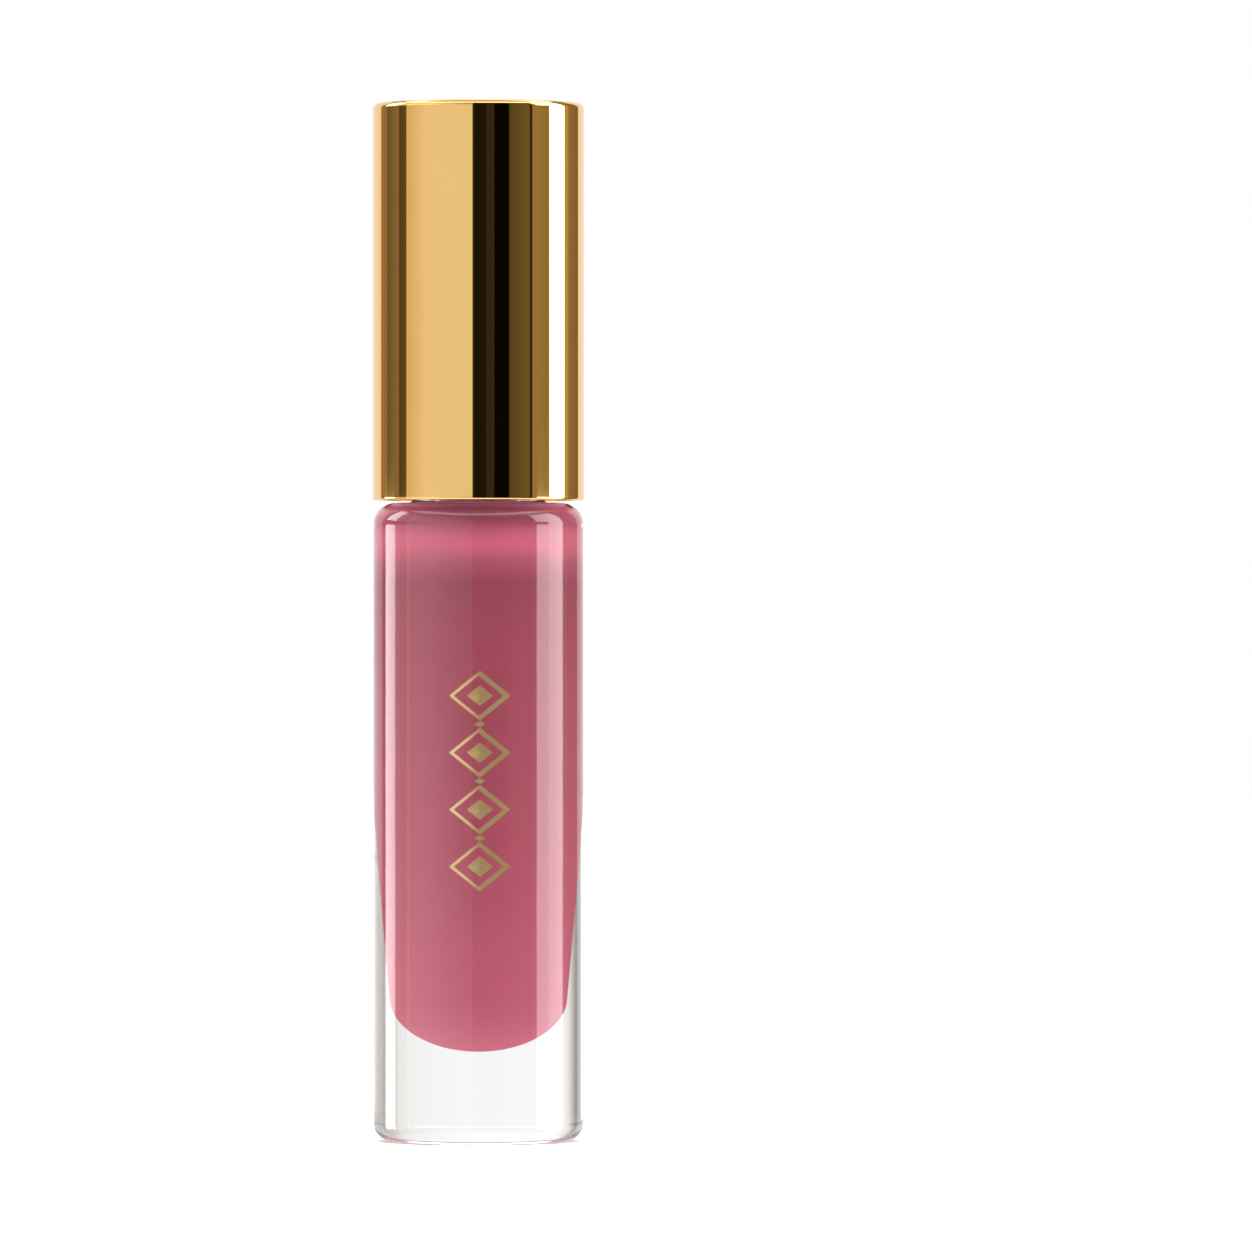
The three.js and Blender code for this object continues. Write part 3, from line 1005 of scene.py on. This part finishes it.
# What shows behind the vial through its clear walls: greyer than the gold's surroundings.
GLASS_LEFT_CARDS = [
    (-144, (1.0, 1.0, 1.0), (1.0, 1.0, 1.0)),
    (-133, (0.99, 0.99, 0.99), (0.96, 0.95, 0.94)),
    (-121, (0.84, 0.83, 0.81), (0.45, 0.42, 0.40)),
    (-108, (0.30, 0.28, 0.27), (0.36, 0.33, 0.31)),
    (-84.5, (0.70, 0.66, 0.63), (0.85, 0.80, 0.76)),
]
GLASS_RIGHT_CARDS = [
    (104, (0.90, 0.84, 0.78), (0.80, 0.74, 0.68)),
    (119, (0.48, 0.44, 0.41), (0.42, 0.39, 0.37)),
    (130, (0.47, 0.44, 0.42), (0.54, 0.51, 0.49)),
    (136, (0.66, 0.63, 0.61), (0.62, 0.59, 0.57)),
    (143, (0.72, 0.69, 0.67), (0.74, 0.71, 0.69)),
    (180, (0.86, 0.85, 0.84), (1.0, 1.0, 1.0)),
]
CARD_EDGE = 0.3
GLASS_CARDS_FROM = 84.5
SOFT_GREY = (0.68, 0.66, 0.64, 1)
STRIP_LIGHT = 5.0
EDGE_LIGHT = 0.8
OVERHEAD_LIGHT = 5.5
SHOULDER_LIGHT = 3
SHOULDER_LIGHT_THROUGH = 4.5
ROOM_LIGHT = 0.7
FILL_LIGHT = 0.12
DIM_LIGHT = 0.35
TABLE_LIGHT = 1.6

world = bpy.data.worlds.new("studio")
world.use_nodes = True
bpy.context.scene.world = world
sky = Tree(world.node_tree)
way = sky.node("ShaderNodeTexCoord", output="Generated")
aim = sky.node("ShaderNodeSeparateXYZ", None, {0: way})
east, north, up = (Link(sky, aim.socket.node.outputs[k]) for k in range(3))
DEGREES = 180 / math.pi
round_deg = east.math("ARCTAN2", east, 0 - north) * DEGREES
up_deg = up.math("ARCSINE", up) * DEGREES


def ramp_of(cards, start, edge=CARD_EDGE):
    """A colour ramp over the degrees from start, with a soft edge between cards."""
    span = cards[-1][0] - start
    stops, low = [], start
    for high, first, last in cards:
        stops.append(((low + edge - start) / span, first))
        stops.append(((high - edge - start) / span, last))
        low = high
    share = (round_deg - start) / span
    return sky.node("ShaderNodeValToRGB", {"stops": stops}, {"Fac": share})


def rising(value, low, high):
    """0 below low, 1 above high, with a soft step."""
    inputs = {"Value": value, "From Min": low, "From Max": high}
    return sky.node("ShaderNodeMapRange", {"interpolation_type": "SMOOTHSTEP"}, inputs)


def between(value, low, high, edge):
    """1 between two limits, with a soft edge."""
    return rising(value, low - edge, low + edge) * (1 - rising(value, high - edge, high + edge))


# What has come through the glass, what lights a plain surface and what a mirror shows are told apart, so
# that the gloss, the stem and the gold are each as bright as they should be beside each other.
through = sky.node("ShaderNodeLightPath", output="Is Transmission Ray")
diffused = sky.node("ShaderNodeLightPath", output="Is Diffuse Ray")
mirrored = sky.node("ShaderNodeLightPath", output="Is Glossy Ray")
glass_left = through * (round_deg < -GLASS_CARDS_FROM)
glass_right = through * (round_deg > GLASS_CARDS_FROM)
not_in_glass = (1 - glass_left) * (1 - glass_right)

# The cards, all round. Through glass and on plain surfaces they are blended with a soft grey.
left = sky.mix(glass_left, ramp_of(LEFT_CARDS, -180), ramp_of(GLASS_LEFT_CARDS, -180, 2.5))
right_of_glass = ramp_of(GLASS_RIGHT_CARDS, GLASS_CARDS_FROM, 1.5)
right = sky.mix(glass_right, ramp_of(RIGHT_CARDS, 0), right_of_glass)
greyed = (0.5 * through + 0.6 * diffused) * not_in_glass
walls = sky.mix(greyed, sky.mix(round_deg > 0, left, right), SOFT_GREY)

# The vial sees wider strips than the cap does, and a soft box that fades toward the front.
cap_band = between(up_deg, 0.57, 12, 0.02)
vial_band = 1 - cap_band
strip_band = between(up_deg, -14, 40, 3)
right_on_vial = between(round_deg, 68, 107, 0.8) * vial_band
right_on_cap = between(round_deg, 84.8, 108.4, 0.5) * cap_band
left_on_vial = between(round_deg, -123, -104, 0.8) * vial_band
strips = right_on_vial + right_on_cap + 1.25 * left_on_vial
strips = strips * (1 - 0.8 * diffused) * not_in_glass
strips = strips * strip_band * STRIP_LIGHT
soft_box_fade = sky.node("ShaderNodeMapRange", None, {
    "Value": round_deg, "From Min": -75.0, "From Max": -12.0, "To Min": 0.8, "To Max": -0.45,
})
soft_on_vial = between(round_deg, -104, -5, 1.5) * vial_band * strip_band * (1 - diffused)
soft_gain = 1 + soft_on_vial * soft_box_fade
walls = sky.vector("SCALE", walls, soft_gain)
soft_edge = between(round_deg, -104, -82, 1.5) * vial_band * strip_band * (1 - diffused)

# Overhead light is strong on plain surfaces and weak in mirrors, and a ring below it lights the gloss.
overhead = between(up_deg, 62, 200, 3) * OVERHEAD_LIGHT * (1 - 0.94 * mirrored)
shoulder_light = (SHOULDER_LIGHT + SHOULDER_LIGHT_THROUGH * through) * mirrored
shoulder_light = between(up_deg, 46, 58, 3) * shoulder_light
room_light = between(up_deg, 38, 62, 4) * ROOM_LIGHT * (1 - mirrored)
light = strips + EDGE_LIGHT * soft_edge + overhead + shoulder_light + room_light
light = light + FILL_LIGHT * diffused

# Above the cards the room is dim, and below them the table is bright. The camera sees plain white.
dim = (DIM_LIGHT, DIM_LIGHT * 0.9, DIM_LIGHT * 0.75, 1)
above = sky.mix(rising(up_deg, 32.0, 38.0), walls, dim)
below = 1 - rising(up_deg, -38.0, -32.0)
around = sky.mix(below, above, (TABLE_LIGHT, TABLE_LIGHT, TABLE_LIGHT, 1))
extra = sky.node("ShaderNodeCombineXYZ", None, {k: light for k in range(3)})
lit = sky.vector("ADD", around, extra)
seen = sky.node("ShaderNodeLightPath", output="Is Camera Ray")
glow = sky.node("ShaderNodeBackground", None, {"Color": sky.mix(seen, lit, (1, 1, 1, 1))})
sky.node("ShaderNodeOutputWorld", None, {"Surface": glow})

# The camera stands a metre off at mid-height, with a long lens, to the right of the tube.
DISTANCE = 1.0
FRAME_WIDE = 1.2072 * TALL
camera_data = bpy.data.cameras.new("camera")
camera_data.sensor_width = 36
camera_data.lens = camera_data.sensor_width * DISTANCE / FRAME_WIDE
camera = bpy.data.objects.new("camera", camera_data)
camera.location = (0.1423 * TALL, -DISTANCE, 0.4963 * TALL)
camera.rotation_euler = (math.pi / 2, 0, 0)
bpy.context.scene.collection.objects.link(camera)
bpy.context.scene.camera = camera
bpy.context.scene.view_settings.view_transform = "Standard"
